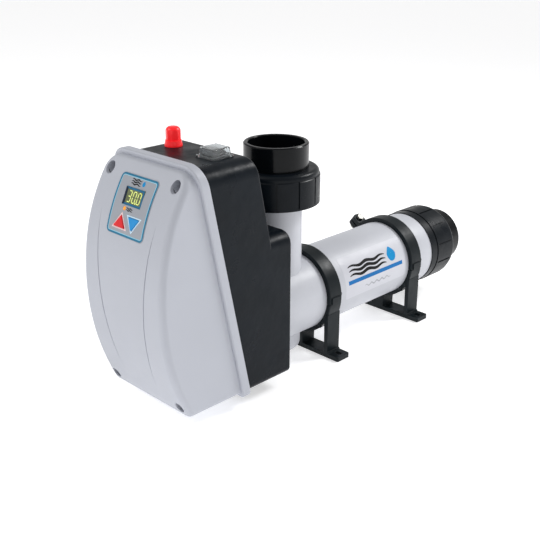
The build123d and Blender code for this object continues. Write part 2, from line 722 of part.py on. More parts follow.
def flow_switch_body():
    """Plug through the flange: dry reed pocket outside, a fork for the paddle inside."""
    body = cyl_y(9.0, flange_face() - 12, -32)
    body += cyl_y(12.0, -66, flange_face() - FLANGE_THICK - 0.05)
    body -= cyl_y(3.0, -70, -38)
    for x in (-7.0, 4.0):
        arm = block(x, x + 3.0, -33, PADDLE_Y + 3.5, -3.5, 3.5) & cyl_y(9.0, -40, 0)
        body += arm - cyl_x(PIN_R + 0.02, -20, 20, PADDLE_Y, 0)
    return body


def paddle_pin():
    return cyl_x(PIN_R, -7.2, 7.2, PADDLE_Y, 0)


def flow_paddle():
    """Paddle on its pin: magnet holder in front, blade under the outlet branch."""
    hub = cyl_x(3.2, -3.7, 3.7, PADDLE_Y, 0)
    arm = block(-2.5, 2.5, PADDLE_Y, -6, -1.2, 1.2)
    blade = block(-11, 11, -8, 18, -1.0, 1.0)
    blade = fillet(blade.edges().filter_by(Axis.Z), 4)
    holder = block(-3.2, 3.2, PADDLE_Y - 8.5, PADDLE_Y, -3.2, 3.2)
    body = hub + arm + blade + holder
    body -= cyl_x(PIN_R + 0.06, -20, 20, PADDLE_Y, 0)
    return body - cyl_y(2.05, PADDLE_Y - 9, PADDLE_Y - 4.5)


def paddle_magnet():
    return cyl_y(2.0, PADDLE_Y - 8.5, PADDLE_Y - 4.52)


def earth_stud():
    x, z = EARTH
    body = cyl_y(2.45, -66, -46.5, x, z)
    nut = Pos(x, -50.1, z) * Rot(90, 0, 0) * extrude(RegularPolygon(4.2, 6), 3.4)
    return body + nut


# ---- power parts ----
RAIL_Z = 74.0


def din_rail():
    wall = TUBE_FRONT - BOX_WALL - 0.02
    body = block(-55, 55, wall - 1.0, wall, RAIL_Z - 12.5, RAIL_Z + 12.5)
    for side in (-1, 1):
        z0, z1 = sorted((RAIL_Z + side * 11.5, RAIL_Z + side * 12.5))
        body += block(-55, 55, wall - 7.5, wall, z0, z1)
        z0, z1 = sorted((RAIL_Z + side * 11.5, RAIL_Z + side * 17.5))
        body += block(-55, 55, wall - 7.5, wall - 6.5, z0, z1)
    return body


CONTACTOR_X = (-52.0, -7.0)
CONTACTOR_Y = (-106.0, -52.0)
POLE_X = (-43.0, -29.5, -16.0)


def contactor_body():
    x0, x1 = CONTACTOR_X
    y0, y1 = CONTACTOR_Y
    body = block(x0, x1, y0, y1, 46, 104)
    body -= block(x0 - 1, x1 + 1, y0 - 1, y0 + 10, 92, 105)
    body -= block(x0 - 1, x1 + 1, y0 - 1, y0 + 10, 45, 58)
    middle = sum(CONTACTOR_X) / 2
    body -= block(middle - 7.2, middle + 7.2, y0 - 1, y0 + 22, 65, 85)
    for x in POLE_X:
        for z in (98, 52):
            body -= cyl_y(3.0, y0 + 5, y0 + 16, x, z)
    return body


def contactor_armature():
    """Moving contact carrier, pulled in when the coil is energised."""
    middle = sum(CONTACTOR_X) / 2
    y0 = CONTACTOR_Y[0]
    return block(middle - 7.0, middle + 7.0, y0 - 3, y0 + 16, 65.2, 84.8)


def terminal_screws():
    y0 = CONTACTOR_Y[0]
    return [cyl_y(2.8, y0 + 11, y0 + 15.98, x, z) for x in POLE_X for z in (98, 52)]


def terminal_block():
    body = block(2, 52, -94, -52, 50, 98)
    for pole in range(5):
        x = 7 + 10 * pole
        body -= cyl_y(2.6, -95, -84, x, 62)
        body -= cyl_y(2.6, -95, -84, x, 86)
        body -= block(x - 3, x + 3, -91, -80, 97, 105)
        body -= block(x - 3, x + 3, -91, -80, 45, 51)
    return body


# ---- cable entries ----
def gland_body(place):
    body = extrude(RegularPolygon(13.5, 6), 5) + cyl_z(10.0, -9.5, 0.5) + cyl_z(9.5, 4.5, 12)
    return place * (Pos(0, 0, 0.03) * (body - cyl_z(6.5, -12, 15)))


def gland_cap(place):
    body = cyl_z(12.0, 0, 11)
    body = fillet(body.edges().group_by(Axis.Z)[-1], 3.5)
    body = body & extrude(RegularPolygon(13.4, 6), 20)
    body -= cyl_z(9.55, -1, 7.2)
    return place * Pos(0, 0, 5.06) * (body - cyl_z(5.0, -1, 20))


def gland_seal(place):
    return place * tube_z(6.45, 4.0, 2.0, 11.9)


def lock_nut(place):
    inside = -BOX_WALL - 0.05
    return place * (hexagon_z(25, inside - 4.5, inside) - cyl_z(10.05, -20, 5))


def blanking_plug(place):
    head = fillet(cyl_z(12.5, 0.03, 4.0).edges().group_by(Axis.Z)[-1], 1.5)
    return place * (head + cyl_z(10.0, -9, 0.5))


def main():
    os.makedirs("parts", exist_ok=True)
    save("heater_tube", heater_tube())
    save("outlet_threaded_end", at_outlet(threaded_end(BRANCH_R + 0.05)))
    save("inlet_threaded_end", inlet_collar() + at_inlet(threaded_end(BRANCH_R - 0.06)))
    save("outlet_socket_end", at_outlet(socket_end()))
    save("inlet_socket_end", at_inlet(socket_end()))
    save("outlet_union_nut", at_outlet(union_nut()))
    save("inlet_union_nut", at_inlet(union_nut()))
    save("union_seals", at_outlet(union_seal()), at_inlet(union_seal()))
    front, rear = both_brackets(bracket_base)
    save("front_bracket_base", front)
    save("rear_bracket_base", rear)
    front, rear = both_brackets(bracket_strap)
    save("front_bracket_strap", front)
    save("rear_bracket_strap", rear)
    save("clamp_bolts", *both_brackets(clamp_bolt))
    save("clamp_nuts", *both_brackets(clamp_nut))
    save("rear_housing", rear_housing())
    save("front_cover", front_cover())
    save("cover_gasket", cover_gasket())
    save("cover_screws", *cover_screws())
    save("control_overlay", control_overlay())
    save("display_window", display_window())
    save("display_module", display_module())
    save("status_light", status_light())
    save("key_up", key(-1))
    save("key_down", key(1))
    save("key_switches", tact_switch(-1), tact_switch(1))
    save("control_board", control_board())
    save("board_spacers", *board_spacers())
    save("limiter_body", limiter_body())
    save("limiter_nut", limiter_nut())
    save("reset_collar", reset_collar())
    save("reset_button", reset_button())
    save("reset_pin", reset_pin())
    save("switch_body", switch_body())
    save("power_rocker", power_rocker())
    save("rocker_pin", rocker_pin())
    save("splash_boot", splash_boot())
    save("element_flange", element_flange())
    save("flange_seal", flange_seal())
    save("flange_screws", *flange_screws())
    for number, pair in enumerate(element_places(), start=1):
        save(f"heating_element_{number}", heating_element(pair))
    save("sensor_pockets", *[sensor_pocket(place) for place in pocket_places()])
    save("temperature_sensor", temperature_sensor())
    save("limiter_bulb", limiter_bulb())
    save("flow_switch_body", flow_switch_body())
    save("paddle_pin", paddle_pin())
    save("flow_paddle", flow_paddle())
    save("paddle_magnet", paddle_magnet())
    save("earth_stud", earth_stud())
    save("din_rail", din_rail())
    save("contactor_body", contactor_body())
    save("contactor_armature", contactor_armature())
    save("terminal_screws", *terminal_screws())
    save("terminal_block", terminal_block())
    save("cable_gland", gland_body(GLAND))
    save("gland_cap", gland_cap(GLAND))
    save("gland_seal", gland_seal(GLAND))
    save("blanking_plug", blanking_plug(PLUG))
    save("lock_nuts", lock_nut(GLAND), lock_nut(PLUG))


main()
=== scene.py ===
"""Looks of an electric pool heater: moulded plastics, printed panel and tube label, studio stage.

Everything is in metres in the row frame: +Z up, the cover faces -Y, the heater tube runs along +Y.
"""

import json
import math

import bmesh
import bpy
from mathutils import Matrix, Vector
from mathutils.bvhtree import BVHTree


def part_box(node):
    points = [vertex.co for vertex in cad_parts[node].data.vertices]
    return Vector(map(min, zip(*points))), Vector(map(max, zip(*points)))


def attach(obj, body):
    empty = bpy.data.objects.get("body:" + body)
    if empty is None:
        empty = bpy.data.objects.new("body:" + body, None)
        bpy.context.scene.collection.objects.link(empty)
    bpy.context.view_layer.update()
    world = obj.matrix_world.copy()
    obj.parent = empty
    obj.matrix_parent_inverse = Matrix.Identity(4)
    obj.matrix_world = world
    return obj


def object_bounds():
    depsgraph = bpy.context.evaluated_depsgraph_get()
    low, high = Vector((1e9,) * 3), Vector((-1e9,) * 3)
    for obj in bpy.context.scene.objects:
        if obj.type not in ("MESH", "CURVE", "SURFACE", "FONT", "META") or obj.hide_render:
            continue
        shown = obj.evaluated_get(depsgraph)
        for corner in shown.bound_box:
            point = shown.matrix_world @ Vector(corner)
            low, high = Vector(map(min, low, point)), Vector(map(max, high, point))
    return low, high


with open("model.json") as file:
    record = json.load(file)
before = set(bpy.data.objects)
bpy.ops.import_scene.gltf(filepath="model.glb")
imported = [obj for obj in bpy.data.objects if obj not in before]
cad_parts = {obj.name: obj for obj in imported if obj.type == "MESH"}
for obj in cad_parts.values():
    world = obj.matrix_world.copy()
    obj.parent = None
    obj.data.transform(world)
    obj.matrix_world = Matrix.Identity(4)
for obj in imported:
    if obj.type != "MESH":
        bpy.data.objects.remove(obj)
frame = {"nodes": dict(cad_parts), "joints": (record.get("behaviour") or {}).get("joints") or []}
cad_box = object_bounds()

MM = 0.001

# ---- materials ----

NOISE_SPAN = (0.3, 0.7)        # where most noise values lie
NOISE_DETAIL = {"cloud": 4, "gloss": 5, "grain": 3, "ripple": 2}
SEED_STEP = {"cloud": 0, "gloss": 3, "grain": 7, "ripple": 11}
LEAST_ROUGHNESS = 0.02
RIPPLE_SCALE = 75
RIPPLE_DEPTH = 1.5 * MM
INK_SHINE = 0.2


def linear(red, green, blue):
    """Scene-linear colour of an 8-bit sRGB colour."""
    steps = []
    for value in (red, green, blue):
        share = value / 255
        steps.append(share / 12.92 if share <= 0.04045 else ((share + 0.055) / 1.055) ** 2.4)
    return (*steps, 1.0)


def scaled(colour, factor):
    return (*[min(1.0, c * factor) for c in colour[:3]], 1.0)


def finish_material(
    name, colour, roughness, cloud=0.06, cloud_scale=22, gloss=0.06, gloss_scale=60,
    grain=0.15, grain_scale=1500, grain_depth=0.04 * MM, ripple=0.0, seed=0, **sockets
):
    """Principled surface whose colour, roughness and fine relief all vary; sockets are set as they are."""
    material = bpy.data.materials.new(name)
    material.use_nodes = True
    nodes = material.node_tree.nodes
    links = material.node_tree.links
    shader = nodes["Principled BSDF"]
    place = nodes.new("ShaderNodeTexCoord").outputs["Object"]

    def noise(kind, scale):
        """Noise in the object's own metres; each kind has its own slice of a 4-D field."""
        texture = nodes.new("ShaderNodeTexNoise")
        texture.noise_dimensions = "4D"
        texture.inputs["Scale"].default_value = scale
        texture.inputs["Detail"].default_value = NOISE_DETAIL[kind]
        texture.inputs["W"].default_value = seed + SEED_STEP[kind]
        links.new(place, texture.inputs["Vector"])
        return texture.outputs["Fac"]

    def stretched(value, low, high):
        """Noise spread out to run from low to high."""
        span = nodes.new("ShaderNodeMapRange")
        span.inputs["From Min"].default_value, span.inputs["From Max"].default_value = NOISE_SPAN
        span.inputs["To Min"].default_value = low
        span.inputs["To Max"].default_value = high
        links.new(value, span.inputs["Value"])
        return span.outputs["Result"]

    def relief(height, strength, depth):
        bump = nodes.new("ShaderNodeBump")
        bump.inputs["Strength"].default_value = strength
        bump.inputs["Distance"].default_value = depth
        links.new(height, bump.inputs["Height"])
        return bump

    tint = nodes.new("ShaderNodeMix")
    tint.data_type = "RGBA"
    tint.inputs["A"].default_value = scaled(colour, 1 - cloud)
    tint.inputs["B"].default_value = scaled(colour, 1 + cloud)
    links.new(stretched(noise("cloud", cloud_scale), 0, 1), tint.inputs["Factor"])
    links.new(tint.outputs["Result"], shader.inputs["Base Color"])
    shine = noise("gloss", gloss_scale)
    low = max(LEAST_ROUGHNESS, roughness - gloss)
    links.new(stretched(shine, low, roughness + gloss), shader.inputs["Roughness"])
    waves = relief(noise("ripple", RIPPLE_SCALE), ripple, RIPPLE_DEPTH)
    fine = relief(noise("grain", grain_scale), grain, grain_depth)
    links.new(waves.outputs["Normal"], fine.inputs["Normal"])
    links.new(fine.outputs["Normal"], shader.inputs["Normal"])
    for socket, value in sockets.items():
        shader.inputs[socket.replace("_", " ")].default_value = value
    return material


def plastic(name, rgb, roughness, **settings):
    return finish_material(name, linear(*rgb), roughness, **settings)


def metal(name, rgb, roughness, **settings):
    settings = {"cloud": 0.1, "cloud_scale": 160, "gloss": 0.1, "grain_scale": 900, **settings}
    return finish_material(name, linear(*rgb), roughness, Metallic=1.0, **settings)


def ink(name, rgb, roughness, **settings):
    return plastic(name, rgb, roughness, Specular_IOR_Level=INK_SHINE, **settings)


def clear(name, rgb, roughness):
    return finish_material(
        name, linear(*rgb), roughness, cloud=0.01, gloss=0.02, grain=0.0,
        Transmission_Weight=0.93, IOR=1.42,
    )


SLOT_MATERIALS = {
    "tube_plastic": plastic(
        "tube_pvc", (196, 198, 205), 0.44, cloud=0.045, cloud_scale=14, gloss=0.08, ripple=0.12,
        seed=1,
    ),
    "cover_plastic": plastic(
        "cover_abs", (184, 187, 196), 0.45, cloud=0.03, cloud_scale=7, ripple=0.05, seed=2
    ),
    "housing_plastic": plastic(
        "housing_abs", (12, 19, 26), 0.36, cloud=0.18, cloud_scale=26, gloss=0.13, gloss_scale=36,
        grain=0.2, grain_scale=900, grain_depth=0.06 * MM, ripple=0.32, seed=3, Specular_IOR_Level=0.14,
    ),
    "union_gloss": plastic(
        "union_gloss", (6, 9, 12), 0.2, gloss=0.06, grain=0.05, seed=4, Specular_IOR_Level=0.2
    ),
    "union_satin": plastic(
        "union_satin", (12, 18, 24), 0.34, cloud=0.14, gloss=0.1, grain=0.3, ripple=0.2, seed=5,
        Specular_IOR_Level=0.16,
    ),
    "bracket_plastic": plastic(
        "bracket_nylon", (16, 24, 28), 0.38, cloud=0.14, gloss=0.1, grain=0.3, ripple=0.2, seed=6,
        Specular_IOR_Level=0.18,
    ),
    "rubber_black": plastic("rubber", (20, 20, 21), 0.62, cloud=0.15, grain=0.4, seed=7),
    "zinc_steel": metal("zinc_plated_steel", (158, 157, 152), 0.34, seed=8),
    "stainless": metal("stainless_steel", (186, 188, 190), 0.3, seed=9),
    "element_alloy": metal("element_sheath", (120, 118, 112), 0.42, seed=10),
    "brass": metal("brass", (205, 170, 98), 0.3, seed=11),
    "copper": metal("copper", (200, 118, 84), 0.32, seed=12),
    # The reset button's emission is a painted glow: the button is no lamp, and the glow lifts its red
    # above what the lamps give it.
    "red_plastic": plastic(
        "reset_red_painted_glow", (248, 26, 34), 0.32, cloud=0.06, cloud_scale=60, seed=13,
        Emission_Color=linear(255, 30, 36), Emission_Strength=0.3,
    ),
    "clear_plastic": clear("splash_clear", (236, 240, 242), 0.1),
    "overlay_film": plastic("overlay_grey", (158, 162, 170), 0.45, cloud=0.03, grain=0.2, seed=15),
    "display_lens": plastic(
        "display_lens", (104, 112, 78), 0.14, cloud=0.16, cloud_scale=70, gloss=0.04, grain=0.03,
        seed=16,
    ),
    "display_black": plastic(
        "switch_black", (17, 18, 20), 0.35, cloud=0.12, cloud_scale=90, seed=17
    ),
    "amber_lens": plastic(
        "amber_lens", (238, 150, 46), 0.2, cloud=0.3, cloud_scale=500, seed=18,
        Emission_Color=linear(255, 150, 40), Emission_Strength=0.35,
    ),
    "key_red": plastic("key_red", (228, 14, 26), 0.4, cloud=0.05, cloud_scale=80, seed=19),
    "key_blue": plastic("key_blue", (0, 144, 214), 0.4, cloud=0.05, cloud_scale=80, seed=20),
    "board_green": plastic("circuit_board", (28, 92, 58), 0.4, cloud=0.2, cloud_scale=300, seed=21),
    "white_nylon": plastic("white_nylon", (228, 226, 218), 0.5, cloud=0.04, seed=22),
    "grey_polyamide": plastic("grey_polyamide", (112, 116, 120), 0.48, cloud=0.07, seed=23),
    "magnet": metal("magnet", (96, 96, 100), 0.4, seed=24),
}

INK = {
    "ring_blue": ink("ink_ring_blue", (38, 116, 150), 0.4, cloud=0.08, cloud_scale=90, seed=31),
    "ring_pale": ink("ink_ring_pale", (150, 205, 226), 0.4, cloud=0.05, seed=32),
    "frame_teal": ink("ink_frame_teal", (34, 104, 142), 0.35, cloud=0.1, cloud_scale=120, seed=33),
    # ink of the painted shade on the display frame's left side
    "frame_navy": ink("ink_frame_navy", (10, 30, 52), 0.35, cloud=0.1, seed=34),
    "digits": ink(
        "ink_digit_green", (222, 234, 138), 0.4, cloud=0.06, cloud_scale=200, seed=35,
        Emission_Color=linear(222, 236, 130), Emission_Strength=0.4,
    ),
    "black": ink("ink_black", (16, 16, 18), 0.4, cloud=0.1, seed=36),
    "sky": ink("ink_sky_blue", (10, 140, 200), 0.4, cloud=0.06, seed=37),
    "bar": ink("ink_bar_blue", (0, 108, 176), 0.36, cloud=0.05, seed=38),
    "label": ink("label_white", (206, 207, 214), 0.34, cloud=0.02, seed=39),
    "grey": ink("ink_grey", (164, 166, 172), 0.42, cloud=0.05, seed=40),
    "pale_pink": ink("ink_pale_red", (246, 212, 212), 0.42, cloud=0.03, seed=41),
    "pale_blue": ink("ink_pale_blue", (205, 232, 248), 0.42, cloud=0.03, seed=42),
}

# ---- CAD nodes: materials and softened edges ----

SOFT_EDGED = (
    "front_bracket_base", "rear_bracket_base", "front_bracket_strap", "rear_bracket_strap",
)
WELD_REACH = 0.01 * MM
EDGE_WIDTH = 0.25 * MM
EDGE_STEPS = 2
SHARP = math.radians(32)       # edges that turn more than this are rounded


def soften(node):
    """Welds the mesh and rounds its sharp edges with modifiers, which leave the CAD mesh as it is."""
    weld = node.modifiers.new("weld", "WELD")
    weld.merge_threshold = WELD_REACH
    bevel = node.modifiers.new("edges", "BEVEL")
    bevel.width = EDGE_WIDTH
    bevel.segments = EDGE_STEPS
    bevel.limit_method = "ANGLE"
    bevel.angle_limit = SHARP
    bevel.use_clamp_overlap = False
    shading = node.modifiers.new("shading", "WEIGHTED_NORMAL")
    shading.keep_sharp = True


def dress_cad_nodes():
    for node_name, node in frame["nodes"].items():
        for slot in node.material_slots:
            wanted = slot.material.name.split(".")[0]
            slot.material = SLOT_MATERIALS[wanted]
        if node_name in SOFT_EDGED:
            soften(node)


# ---- printed films ----

CORNER_SIGNS = ((1, 1), (-1, 1), (-1, -1), (1, -1))
CORNER_STEPS = 6
SIDE_POINTS = 12
PINHOLE = 0.02                 # what stays open in a filled outline, as a share of it
STROKE_END = 0.15              # a stroke's width at its ends, as a share of its middle's
STROKE_TAPER = 0.6
DROP_POINTS = 48
DROP_PINCH = 0.55              # how far a drop's top is drawn in
DROP_PINCH_POWER = 1.2
DROP_SINK = 0.06               # the drop's middle below its point, as a share of its height


class Film:
    """Thin closed solids laid on a surface by place(a, b, height), gathered into one mesh."""

    def __init__(self, place, thickness, lift=0.0):
        self.place = place
        self.levels = (lift, lift + thickness)
        self.mesh = bmesh.new()

    def sheet(self, rows, closed=False):
        """rows is a grid of (a, b) points; closed joins the last row to the first."""
        low, high = [
            [[self.mesh.verts.new(self.place(a, b, level)) for a, b in row] for row in rows]
            for level in self.levels
        ]
        count = len(rows)
        spans = range(count if closed else count - 1)
        width = len(rows[0])
        for i in spans:
            j = (i + 1) % count
            for k in range(width - 1):
                self.mesh.faces.new((high[i][k], high[j][k], high[j][k + 1], high[i][k + 1]))
                self.mesh.faces.new((low[i][k + 1], low[j][k + 1], low[j][k], low[i][k]))
            for k in (0, width - 1):
                self.mesh.faces.new((low[i][k], low[j][k], high[j][k], high[i][k]))
        if not closed:
            for i in (0, count - 1):
                for k in range(width - 1):
                    self.mesh.faces.new((low[i][k], low[i][k + 1], high[i][k + 1], high[i][k]))

    def piece(self, name, ink, body):
        bmesh.ops.recalc_face_normals(self.mesh, faces=self.mesh.faces)
        data = bpy.data.meshes.new(name)
        self.mesh.to_mesh(data)
        self.mesh.free()
        data.materials.append(INK[ink])
        made = bpy.data.objects.new(name, data)
        bpy.context.scene.collection.objects.link(made)
        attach(made, body)


def spread(start, end, count):
    return [start + (end - start) * i / (count - 1) for i in range(count)]


def band(a0, a1, centre, half_width, count, across=3):
    """Rows of a strip along a whose middle line and half-width are functions of the share along it."""
    rows = []
    for share in spread(0, 1, count):
        a = a0 + (a1 - a0) * share
        middle = centre(share)
        half = half_width(share)
        rows.append([(a, middle + half * s) for s in spread(-1, 1, across)])
    return rows


def rounded_box(width, height, radius):
    """Points round a rounded rectangle centred on (0, 0), its straight sides divided."""

    def on_corner(quarter, degrees):
        sx, sy = CORNER_SIGNS[quarter % 4]
        angle = math.radians(degrees)
        return (
            sx * (width / 2 - radius) + radius * math.cos(angle),
            sy * (height / 2 - radius) + radius * math.sin(angle),
        )

    points = []
    for quarter in range(4):
        start = 90 * quarter
        points += [on_corner(quarter, start + 90 * i / CORNER_STEPS) for i in range(CORNER_STEPS + 1)]
        x0, y0 = points[-1]
        x1, y1 = on_corner(quarter + 1, start + 90)
        for share in spread(0, 1, SIDE_POINTS)[1:-1]:
            points.append((x0 + (x1 - x0) * share, y0 + (y1 - y0) * share))
    return points


def ring_rows(outer, inner, centre, across=3):
    """Rows joining two outlines of the same number of points."""
    rows = []
    for (ax, ay), (bx, by) in zip(outer, inner):
        rows.append([
            (centre[0] + ax + (bx - ax) * s, centre[1] + ay + (by - ay) * s)
            for s in spread(0, 1, across)
        ])
    return rows


def filled_rows(outline, centre, across=6):
    """A filled outline, as rings that shrink to a pinhole."""
    small = [(x * PINHOLE, y * PINHOLE) for x, y in outline]
    return ring_rows(outline, small, centre, across)


def tapered(half):
    """Half-width of a stroke that tapers at both ends."""
    full = 1 - STROKE_END
    return lambda share: half * (STROKE_END + full * math.sin(math.pi * share) ** STROKE_TAPER)


def draw_waves(film, start, end, top, height, turns, half, count, rows=1, pitch=0.0, across=3):
    """Rows of wavy strokes from start to end, the first one at top. Lengths in mm."""
    for row in range(rows):
        level = (top - pitch * row) * MM
        film.sheet(band(
            start * MM, end * MM,
            lambda share: level + height * MM * math.sin(2 * math.pi * (turns * share)),
            tapered(half * MM), count, across,
        ))


def drop_outline(width, height):
    """A water drop: round below, pointed above."""
    points = []
    for i in range(DROP_POINTS):
        angle = 2 * math.pi * i / DROP_POINTS
        reach = math.sin(angle)
        x = width / 2 * math.cos(angle) * (1 - DROP_PINCH * max(0, reach) ** DROP_PINCH_POWER)
        points.append((x, height / 2 * reach - DROP_SINK * height))
    return points


# ---- control panel ----


def panel_frame():
    """Centre of the display window, and the panel's u, v and w directions from a key's joint."""
    press = [j for j in frame["joints"] if j["name"] == "key_up_press"][0]
    out = -Vector(press["axis"]).normalized()
    across = Vector((1, 0, 0))
    up = out.cross(across).normalized()
    low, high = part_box("display_window")
    return (low + high) / 2, across, up, out


DISPLAY_CENTRE, PANEL_U, PANEL_V, PANEL_W = panel_frame()
DISPLAY_RISE = 10.4 * MM       # display centre above the panel's centre
PANEL_WIDTH = 58.0 * MM
PANEL_HEIGHT = 61.5 * MM
PANEL_CORNER = 5.0 * MM
PANEL_SHIFT = 1.5 * MM         # the label's middle above the panel's centre
PANEL_CENTRE = DISPLAY_CENTRE - DISPLAY_RISE * PANEL_V
PROBE_SIDE = 24 * MM           # the panel's face is measured beside the display and the keys
PROBE_RISE = 26 * MM
PROBE_START = 50 * MM
PRINT = 0.06 * MM              # thickness of a printed film


def surface_of(node_name):
    """A search tree of one CAD node's own mesh."""
    node = frame["nodes"][node_name]
    points = [v.co.copy() for v in node.data.vertices]
    return BVHTree.FromPolygons(points, [list(p.vertices) for p in node.data.polygons])


def arc_through(node_name):
    """Height of the curved panel face at v, as a parabola through three points of the node's surface."""
    tree = surface_of(node_name)
    found = []
    for rise in (-PROBE_RISE, 0, PROBE_RISE):
        start = PANEL_CENTRE + PANEL_U * PROBE_SIDE + PANEL_V * rise + PANEL_W * PROBE_START
        hit = tree.ray_cast(start, -PANEL_W)[0]
        found.append((hit - PANEL_CENTRE).dot(PANEL_W))
    low, middle, high = found
    bend = (low + high - 2 * middle) / (2 * PROBE_RISE ** 2)
    slope = (high - low) / (2 * PROBE_RISE)
    return lambda v: middle + slope * v + bend * v * v


PANEL_FACE = arc_through("control_overlay")


def on_panel(u, v, height):
    return PANEL_CENTRE + PANEL_U * u + PANEL_V * v + PANEL_W * (PANEL_FACE(v) + height)


def on_lens(u, v, height):
    return DISPLAY_CENTRE + PANEL_U * u + PANEL_V * v + PANEL_W * height


def panel_outline(inset):
    return rounded_box(PANEL_WIDTH - 2 * inset, PANEL_HEIGHT - 2 * inset, PANEL_CORNER - inset)


def panel_border():
    edge = 0.35 * MM
    line = edge + 1.9 * MM
    fine = line + 0.7 * MM
    for name, colour, start, end in (
        ("panel_border", "ring_blue", edge, line), ("panel_border_line", "ring_pale", line, fine),
    ):
        film = Film(on_panel, PRINT)
        rows = ring_rows(panel_outline(start), panel_outline(end), (0, PANEL_SHIFT))
        film.sheet(rows, closed=True)
        film.piece(name, colour, "heater")


DIGIT_BARS = {"3": "abgcd", "0": "abcdef"}
BAR_END = 0.12                 # width of a bar's end, as a share of the bar's


def segment(film, start, end, half):
    """One bar of a seven-segment digit, pointed at both ends."""
    along = Vector(end) - Vector(start)
    side = Vector((-along.y, along.x)).normalized() * half
    tip = half / along.length
    rows = []
    for share, width in ((0, BAR_END), (tip, 1), (0.5, 1), (1 - tip, 1), (1, BAR_END)):
        middle = Vector(start) + along * share
        rows.append([tuple(middle - side * width), tuple(middle), tuple(middle + side * width)])
    film.sheet(rows)


def display_digits():
    """The reading 30.0 in leaning seven-segment digits on the display window's face."""
    thickness = 0.08 * MM
    lift = 0.8 * MM
    width = 4.3 * MM
    height = 11.0 * MM
    half = 0.46 * MM
    pitch = 7.3 * MM
    shift = 1.3 * MM
    lean = 0.08
    gap = 0.35 * MM
    point_size = 1.5 * MM
    point_corner = 0.7 * MM
    point_shift = 0.9 * MM
    film = Film(on_lens, thickness, lift)
    for index, digit in enumerate("300"):
        x = (index - 1) * pitch - width / 2 + shift
        y = height / 2
        corners = {
            "a": ((0, y), (width, y)), "b": ((width, y), (width, 0)), "c": ((width, 0), (width, -y)),
            "d": ((0, -y), (width, -y)), "e": ((0, 0), (0, -y)), "f": ((0, y), (0, 0)),
            "g": ((0, 0), (width, 0)),
        }
        for bar in DIGIT_BARS[digit]:
            (x0, y0), (x1, y1) = corners[bar]
            start = Vector((x + x0 + lean * y0, y0))
            end = Vector((x + x1 + lean * y1, y1))
            inward = (end - start).normalized() * gap
            segment(film, start + inward, end - inward, half)
    point = (pitch / 2 + point_shift, -height / 2)
    outline = rounded_box(point_size, point_size, point_corner)
    film.sheet(filled_rows(outline, point, 4), closed=True)
    film.piece("display_digits", "digits", "heater")


def display_frame():
    low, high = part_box("display_window")
    width = high.x - low.x
    height = 18.1 * MM
    edge = 0.1 * MM
    line = 2.1 * MM
    lift = 0.78 * MM
    shade_width = 3.3 * MM
    shade_slant = 1.2 * MM
    outer = rounded_box(width - 2 * edge, height - 2 * edge, 0.5 * MM)
    inner = rounded_box(width - 2 * line, height - 2 * line, 0.3 * MM)
    ring = Film(on_lens, PRINT, lift)
    ring.sheet(ring_rows(outer, inner, (0, 0)), closed=True)
    ring.piece("display_frame", "frame_teal", "heater")
    # The dark navy strip down the frame's left side is painted shade: it stands in for the shadowed side
    # wall of the window's recess.
    shade = Film(on_lens, PRINT, lift + PRINT)
    left = edge - width / 2
    half = height / 2 - edge
    shade.sheet(band(left, left + shade_width, lambda s: 0, lambda s: half - shade_slant * s, 8))
    shade.piece("display_frame_painted_shade", "frame_navy", "heater")


def triangle(half, height, grow, points_up):
    """Key outline grown evenly by grow, as points spread along its three sides."""
    side = math.hypot(half, height)
    radius = half * height / (half + side)
    centre = -height / 2 + radius
    factor = (radius + grow) / radius
    corners = [(0, height / 2), (-half, -height / 2), (half, -height / 2)]
    corners = [(x * factor, centre + (y - centre) * factor) for x, y in corners]
    sign = 1 if points_up else -1
    points = []
    for index, (x0, y0) in enumerate(corners):
        x1, y1 = corners[(index + 1) % 3]
        for share in spread(0, 1, 9)[:-1]:
            points.append((sign * (x0 + (x1 - x0) * share), sign * (y0 + (y1 - y0) * share)))
    return points


def key_outlines():
    half = 8.6 * MM
    height = 12.5 * MM
    offset = 9.6 * MM
    level = -15.2 * MM
    outer_grow = 1.55 * MM
    inner_grow = 0.4 * MM
    for name, colour, side in (
        ("key_up_outline", "pale_pink", -1), ("key_down_outline", "pale_blue", 1),
    ):
        film = Film(on_panel, PRINT)
        outer = triangle(half, height, outer_grow, side < 0)
        inner = triangle(half, height, inner_grow, side < 0)
        film.sheet(ring_rows(outer, inner, (side * offset, level)), closed=True)
        film.piece(name, colour, "heater")


EMBLEM_WAVES = {
    "start": -11.0, "end": 4.4, "top": 27.6, "height": 0.6, "turns": 2.0, "half": 0.8,
    "count": 40, "rows": 3, "pitch": 2.3,
}
LAMP_WAVES = {
    "start": -5.6, "end": 4.6, "top": -1.4, "height": 0.4, "turns": 2.0, "half": 0.65,
    "count": 30, "rows": 2, "pitch": 1.9,
}
EMBLEM_DROP = (4.4 * MM, 5.6 * MM)
EMBLEM_DROP_PLACE = (8.2 * MM, 25.8 * MM)


def panel_marks():
    """Generic marks: three waves and a drop above the display, two short waves beside the lamp."""
    marks = Film(on_panel, PRINT)
    draw_waves(marks, **EMBLEM_WAVES)
    draw_waves(marks, **LAMP_WAVES)
    marks.piece("panel_wave_marks", "black", "heater")
    drop = Film(on_panel, PRINT)
    drop.sheet(filled_rows(drop_outline(*EMBLEM_DROP), EMBLEM_DROP_PLACE), closed=True)
    drop.piece("panel_drop_mark", "sky", "heater")


# ---- tube label ----

